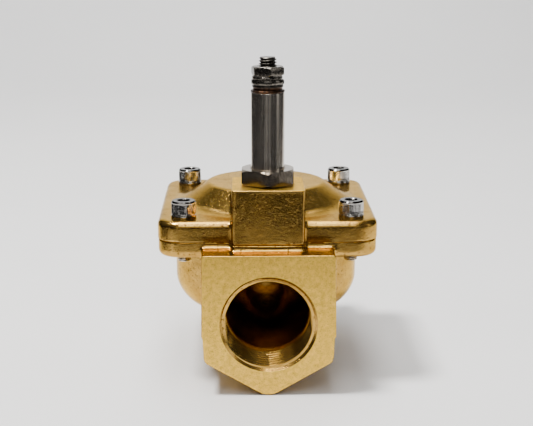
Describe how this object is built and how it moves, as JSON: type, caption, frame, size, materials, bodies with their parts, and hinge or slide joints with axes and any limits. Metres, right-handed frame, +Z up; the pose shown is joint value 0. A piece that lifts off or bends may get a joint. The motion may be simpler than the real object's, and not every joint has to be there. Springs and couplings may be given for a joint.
{
  "type": "solenoid valve",
  "caption": "Brass pilot-operated diaphragm solenoid valve with female pipe threads and a bare armature tube, its coil taken off.",
  "frame": {"origin": "on the surface the valve stands on, halfway between the two port faces and in the plane of symmetry", "axes": "+Z up along the armature tube, flow along -Y (inlet port at +Y, outlet port and pilot boss at -Y), +X to the right seen from the outlet"},
  "size_m": [0.0772, 0.099, 0.1154],
  "materials": {
    "body_brass": "milled and tumbled forging, satin",
    "bonnet_brass": "satin forging with polished edges",
    "inner_brass": "turned",
    "nitrile_rubber": "matt moulded",
    "tube_stainless": "drawn stainless tube, lengthwise streaks",
    "core_stainless": "turned stainless, heat tint at the weld",
    "nut_stainless": "machined stainless",
    "stainless_plate": "machined",
    "dark_steel": "dark nickel plate",
    "plated_steel": "bright zinc or nickel plate",
    "spring_steel": "drawn wire",
    "copper": "copper"
  },
  "bodies": {
    "valve_housing": {"valve_body": "body_brass", "bonnet": "bonnet_brass", "diaphragm_spring": "spring_steel", "pilot_seat": "stainless_plate", "tube_o_ring": "nitrile_rubber", "passage_o_ring": "nitrile_rubber", "armature_tube": "tube_stainless", "base_nut": "nut_stainless", "fixed_core": "core_stainless", "shading_ring": "copper", "plunger_spring": "spring_steel", "lock_washer": "dark_steel", "coil_washer": "dark_steel", "coil_nut": "dark_steel", "cap_screw_front_left": "plated_steel", "cap_screw_front_right": "plated_steel", "cap_screw_rear_left": "plated_steel", "cap_screw_rear_right": "plated_steel", "spring_washer_front_left": "plated_steel", "spring_washer_front_right": "plated_steel", "spring_washer_rear_left": "plated_steel", "spring_washer_rear_right": "plated_steel"},
    "diaphragm_assembly": {"diaphragm": "nitrile_rubber", "support_plate": "stainless_plate", "clamp_disc": "inner_brass", "clamp_screw": "stainless_plate", "clamp_nut": "stainless_plate"},
    "plunger_assembly": {"plunger": "stainless_plate", "plunger_seal": "nitrile_rubber"}
  },
  "joints": [
    {"name": "plunger_lift", "type": "slide", "parent": "valve_housing", "child": "plunger_assembly", "axis": [0, 0, 1], "range_m": [0, 0.0024], "stiffness_N_per_m": 180, "springref_m": -0.008, "deforming": ["plunger_spring"]},
    {"name": "diaphragm_lift", "type": "slide", "parent": "valve_housing", "child": "diaphragm_assembly", "axis": [0, 0, 1], "range_m": [0, 0.0065], "stiffness_N_per_m": 250, "springref_m": -0.012, "deforming": ["diaphragm_spring", "diaphragm"]}
  ]
}
